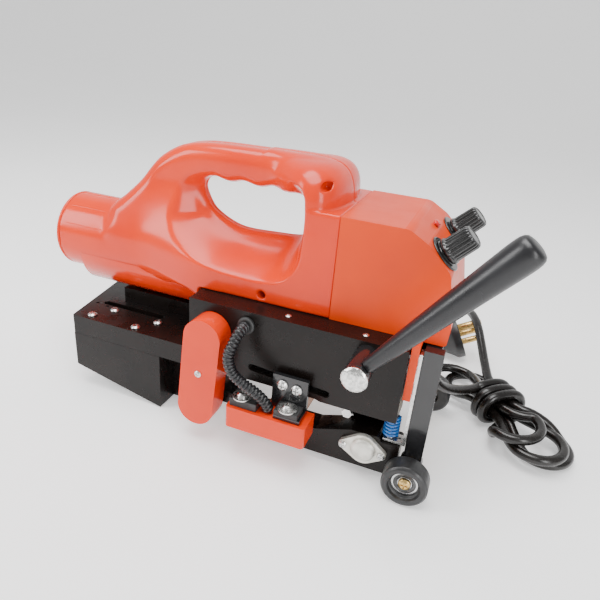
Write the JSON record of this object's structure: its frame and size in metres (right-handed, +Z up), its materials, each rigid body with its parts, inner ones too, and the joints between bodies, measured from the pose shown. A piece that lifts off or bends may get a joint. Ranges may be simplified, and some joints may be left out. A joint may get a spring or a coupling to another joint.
{
  "type": "hot wedge welding machine",
  "caption": "Hand-guided hot-wedge welder for plastic sheet: moulded housing with a loop handle, press rollers, sliding heated wedge, cam lever, running wheels and a tied mains lead.",
  "frame": {"origin": "middle of the ground that the machine covers, without its mains lead", "axes": "+X from the motor end to the control end, which leads in use; +Y from the drive side to the open side where the sheets enter; +Z up"},
  "size_m": [0.5198, 0.3875, 0.248],
  "materials": {
    "orange_plastic": "glossy moulded plastic",
    "orange_plastic_box": "slightly softer gloss, moulded plastic",
    "black_anodised": "satin black anodised aluminium",
    "black_lacquer": "glossy black lacquer",
    "zinc_steel": "bright zinc plated",
    "bearing_steel": "ground steel",
    "roller_steel": "knurled and hardened",
    "chrome_cap": "polished chrome",
    "cast_aluminium": "as cast",
    "blue_spring": "blue painted spring steel",
    "black_gloss_plastic": "glossy",
    "black_matte_plastic": "matt",
    "grip_plastic": "satin moulded grip",
    "tyre_rubber": "dark grey rubber",
    "black_rubber": "semi-gloss flexible sheath",
    "brass_fitting": "turned brass",
    "copper_wedge": "machined copper alloy",
    "grey_plug": "moulded plug",
    "lamp_red": "clear red lens",
    "circuit_board": "solder resist"
  },
  "bodies": {
    "root": {"main_frame": "black_anodised", "nose_plate": "black_anodised", "nose_block": "black_anodised", "frame_screws": "zinc_steel", "handle_shell_front": "orange_plastic", "handle_shell_rear": "orange_plastic", "lower_motor_cover": "orange_plastic", "motor_end_cap": "orange_plastic", "control_box_shell": "orange_plastic_box", "dial_plates": "black_gloss_plastic", "indicator_lamp": "lamp_red", "control_board": "circuit_board", "power_switch_body": "black_gloss_plastic", "motor_can": "zinc_steel", "offset_gearhead": "cast_aluminium", "worm_gearbox_case": "cast_aluminium", "frame_bearings": "bearing_steel", "drive_chain": "bearing_steel", "chain_cover": "orange_plastic", "pivot_bracket": "black_anodised", "pressure_spring": "blue_spring", "wheel_leg": "black_lacquer", "wheel_axle": "brass_fitting", "cable_glands": "black_matte_plastic", "heater_conduit": "black_rubber", "power_cord": "black_rubber", "plug_lead": "black_rubber", "cord_hank": "black_rubber", "plug_body": "grey_plug", "plug_pins": "brass_fitting"},
    "press_arm": {"press_arm": "black_anodised", "arm_bearings": "bearing_steel", "pivot_flange": "cast_aluminium", "flange_screws": "zinc_steel"},
    "lower_roller": {"lower_roller": "roller_steel", "lower_sprocket": "bearing_steel"},
    "upper_roller": {"upper_roller": "roller_steel", "roller_gear": "bearing_steel"},
    "drive_shaft": {"drive_shaft": "roller_steel", "drive_gear": "bearing_steel", "worm_wheel": "brass_fitting"},
    "worm": {"worm_shaft": "roller_steel"},
    "armature": {"motor_armature": "bearing_steel"},
    "lever": {"lever_shaft": "black_lacquer", "lever_cap": "chrome_cap", "lever_grip": "grip_plastic"},
    "strap": {"spring_strap": "zinc_steel"},
    "wedge": {"hot_wedge": "copper_wedge", "cartridge_heaters": "bearing_steel", "wedge_bracket": "black_lacquer", "wedge_fasteners": "zinc_steel", "heater_tray": "orange_plastic", "insulator_blocks": "black_matte_plastic"},
    "near_wheel": {"near_wheel_tyre": "tyre_rubber", "near_wheel_bearing": "bearing_steel"},
    "far_wheel": {"far_wheel_tyre": "tyre_rubber", "far_wheel_bearing": "bearing_steel"},
    "speed_knob": {"speed_knob": "black_gloss_plastic"},
    "temperature_knob": {"temperature_knob": "black_gloss_plastic"},
    "rocker": {"power_switch_rocker": "black_gloss_plastic"}
  },
  "joints": [
    {"name": "lever_turn", "type": "hinge", "parent": "root", "child": "lever", "pos_m": [0.1134, -0.0499, 0.1175], "axis": [0, 1, 0], "range_deg": [0, 70]},
    {"name": "arm_close", "type": "hinge", "parent": "root", "child": "press_arm", "pos_m": [0.1218, -0.0499, 0.0287], "axis": [0, 1, 0], "range_deg": [0, 2.2]},
    {"name": "strap_push", "type": "slide", "parent": "root", "child": "strap", "axis": [0, 0, -1], "range_m": [0, 0.001], "deforming": ["pressure_spring"]},
    {"name": "wedge_slide", "type": "slide", "parent": "root", "child": "wedge", "axis": [-0.9962, 0, 0.0872], "range_m": [-0.017, 0.0095], "deforming": ["heater_conduit"]},
    {"name": "drive_turn", "type": "hinge", "parent": "root", "child": "drive_shaft", "pos_m": [-0.0203, -0.0499, 0.1048], "axis": [0, 1, 0], "continuous": true},
    {"name": "upper_roller_turn", "type": "hinge", "parent": "root", "child": "upper_roller", "pos_m": [-0.02258, -0.0499, 0.0787], "axis": [0, 1, 0], "continuous": true},
    {"name": "lower_roller_turn", "type": "hinge", "parent": "press_arm", "child": "lower_roller", "pos_m": [-0.02642, -0.0499, 0.03487], "axis": [0, 1, 0], "continuous": true},
    {"name": "worm_turn", "type": "hinge", "parent": "root", "child": "worm", "pos_m": [-0.0436, 0.0091, 0.1307], "axis": [1, 0, 0], "continuous": true},
    {"name": "armature_turn", "type": "hinge", "parent": "root", "child": "armature", "pos_m": [-0.0436, 0.0226, 0.1396], "axis": [1, 0, 0], "continuous": true},
    {"name": "near_wheel_turn", "type": "hinge", "parent": "root", "child": "near_wheel", "pos_m": [0.1612, -0.0499, 0.0191], "axis": [0, 1, 0], "continuous": true},
    {"name": "far_wheel_turn", "type": "hinge", "parent": "root", "child": "far_wheel", "pos_m": [0.1612, -0.0499, 0.0191], "axis": [0, 1, 0], "continuous": true},
    {"name": "speed_knob_turn", "type": "hinge", "parent": "root", "child": "speed_knob", "pos_m": [0.1524, -0.0099, 0.1965], "axis": [0.7071, 0, 0.7071], "range_deg": [-140, 140]},
    {"name": "temperature_knob_turn", "type": "hinge", "parent": "root", "child": "temperature_knob", "pos_m": [0.1524, 0.0531, 0.1965], "axis": [0.7071, 0, 0.7071], "range_deg": [-140, 140]},
    {"name": "power_switch_rock", "type": "hinge", "parent": "root", "child": "rocker", "pos_m": [0.1054, 0.0616, 0.172], "axis": [1, 0, 0], "range_deg": [-7, 7]}
  ],
  "couplings": [
    {"joint": "arm_close", "follows": "lever_turn", "ratio": 0.031},
    {"joint": "strap_push", "follows": "lever_turn", "m_per_rad": 0.000818},
    {"joint": "upper_roller_turn", "follows": "drive_turn", "ratio": -1},
    {"joint": "lower_roller_turn", "follows": "drive_turn", "ratio": 1},
    {"joint": "worm_turn", "follows": "drive_turn", "ratio": 20},
    {"joint": "armature_turn", "follows": "drive_turn", "ratio": 80}
  ]
}
